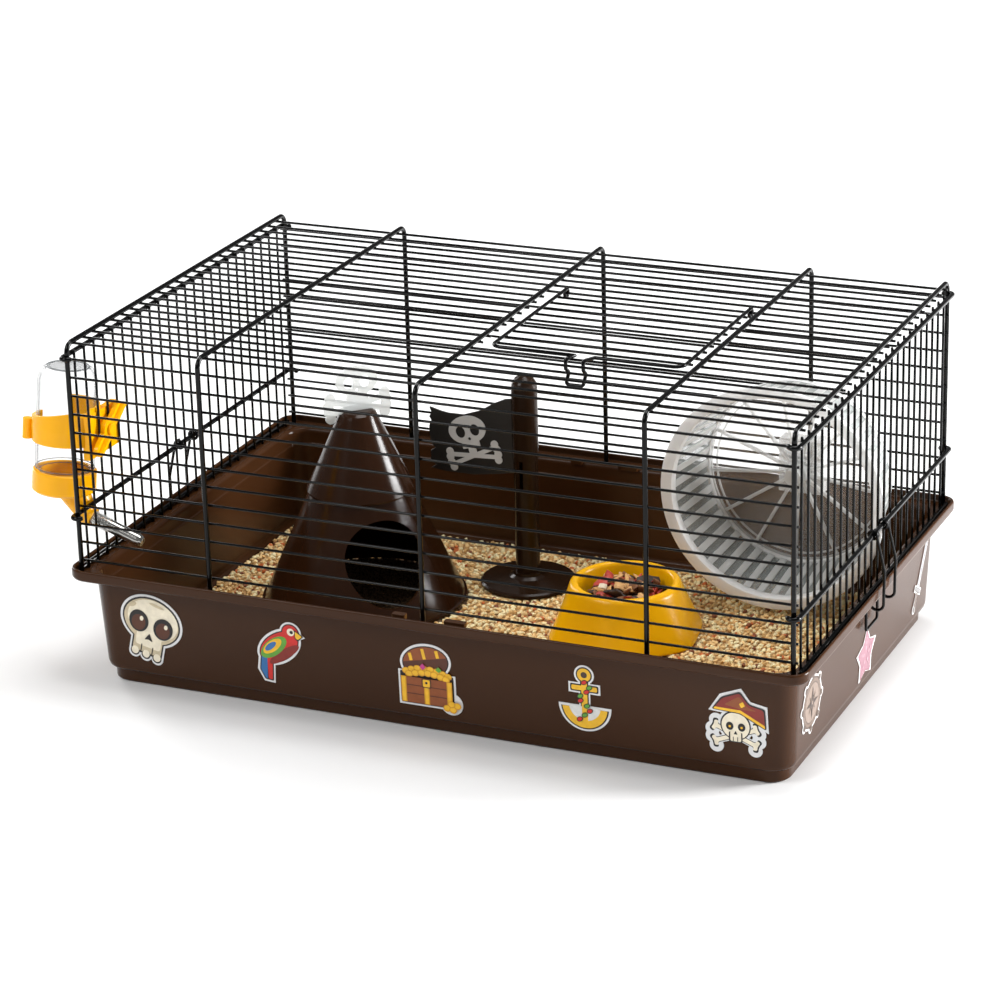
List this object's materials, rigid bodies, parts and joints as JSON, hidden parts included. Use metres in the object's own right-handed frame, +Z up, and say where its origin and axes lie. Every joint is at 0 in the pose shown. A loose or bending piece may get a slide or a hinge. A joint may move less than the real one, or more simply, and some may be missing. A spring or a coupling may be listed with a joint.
{
  "type": "hamster cage",
  "caption": "Hamster cage: moulded tray, black wire top with a roof door and side clips, fitted with bottle, house, mast, bowl and wheel.",
  "frame": {"origin": "centre of the tray's underside, on the ground", "axes": "+X right along the tray as seen from the front, +Y to the back, +Z up"},
  "size_m": [0.5023, 0.2934, 0.2151],
  "materials": {
    "brown_plastic": "glossy moulded dark brown",
    "dark_plastic": "glossy moulded blackish brown",
    "bedding": "dry cob granules with a few orange and brown ones",
    "black_wire": "glossy black enamel",
    "clear_plastic": "clear moulded plastic",
    "orange_plastic": "glossy orange-yellow",
    "seal_rubber": "soft pale",
    "steel": "polished stainless",
    "frosted_plastic": "frosted white",
    "wheel_plastic": "milky translucent",
    "flag_plastic": "satin black",
    "badge_print": "printed pale grey",
    "yellow_plastic": "glossy yellow",
    "food": "mixed dried pieces, red, beige and dark",
    "sticker_print": "printed film with a pale border"
  },
  "bodies": {
    "cage": {"tray": "brown_plastic", "bedding": "bedding", "end_frame_left": "black_wire", "inner_frame_left": "black_wire", "middle_frame": "black_wire", "inner_frame_right": "black_wire", "end_frame_right": "black_wire", "front_bars": "black_wire", "back_bars": "black_wire", "roof_bars": "black_wire", "left_uprights": "black_wire", "left_top_wire": "black_wire", "left_middle_wire": "black_wire", "left_rim_wire": "black_wire", "right_uprights": "black_wire", "right_top_wire": "black_wire", "right_middle_wire": "black_wire", "right_rim_wire": "black_wire", "bottle": "clear_plastic", "bottle_cap": "orange_plastic", "cap_seal": "seal_rubber", "tube_sleeve": "clear_plastic", "drinking_tube": "steel", "bottle_holder": "orange_plastic", "wheel_axle": "steel", "axle_cap": "wheel_plastic", "wheel_bracket": "wheel_plastic", "sticker_skull": "sticker_print", "sticker_bird": "sticker_print", "sticker_chest": "sticker_print", "sticker_anchor": "sticker_print", "sticker_hat": "sticker_print", "sticker_compass": "sticker_print", "sticker_star": "sticker_print", "sticker_sword": "sticker_print"},
    "roof_door": {"door_frame": "black_wire", "door_bars": "black_wire"},
    "left_clip": {"left_clip": "black_wire"},
    "right_clip": {"right_clip": "black_wire"},
    "tube_ball": {"tube_ball": "steel"},
    "holder_lock": {"holder_lock": "orange_plastic"},
    "wheel": {"wheel_drum": "wheel_plastic", "wheel_disc": "wheel_plastic"},
    "house": {"house_base": "brown_plastic"},
    "house_top": {"house_roof": "brown_plastic", "house_emblem": "frosted_plastic"},
    "mast": {"mast_foot": "dark_plastic", "mast_lower": "dark_plastic", "mast_upper": "brown_plastic", "mast_flag": "flag_plastic", "flag_badge": "badge_print"},
    "bowl": {"bowl": "yellow_plastic", "food": "food"}
  },
  "joints": [
    {"name": "roof_door_hinge", "type": "hinge", "parent": "cage", "child": "roof_door", "pos_m": [0.0705, 0.05108, 0.2114], "axis": [-1, 0, 0], "range_deg": [0, 150]},
    {"name": "left_clip_swing", "type": "hinge", "parent": "cage", "child": "left_clip", "pos_m": [-0.22505, 0, 0.1065], "axis": [0, 1, 0], "range_deg": [0, 125]},
    {"name": "right_clip_swing", "type": "hinge", "parent": "cage", "child": "right_clip", "pos_m": [0.22505, 0, 0.1065], "axis": [0, -1, 0], "range_deg": [0, 125]},
    {"name": "wheel_spin", "type": "hinge", "parent": "cage", "child": "wheel", "pos_m": [0.1353, 0.115, 0.0875], "axis": [0, 1, 0], "continuous": true},
    {"name": "ball_press", "type": "slide", "parent": "cage", "child": "tube_ball", "axis": [-0.9415, 0, 0.3371], "range_m": [0, 0.0015]},
    {"name": "lock_turn", "type": "hinge", "parent": "cage", "child": "holder_lock", "pos_m": [-0.22, -0.10215, 0.1492], "axis": [1, 0, 0], "range_deg": [-36, 54]},
    {"name": "house_lift", "type": "slide", "parent": "cage", "child": "house", "axis": [0, 0, 1], "range_m": [0, 0.018]},
    {"name": "house_top_lift", "type": "slide", "parent": "house", "child": "house_top", "axis": [0, 0, 1], "range_m": [0, 0.025]},
    {"name": "mast_lift", "type": "slide", "parent": "cage", "child": "mast", "axis": [0, 0, 1], "range_m": [0, 0.055]},
    {"name": "bowl_lift", "type": "slide", "parent": "cage", "child": "bowl", "axis": [0, 0, 1], "range_m": [0, 0.03]}
  ]
}
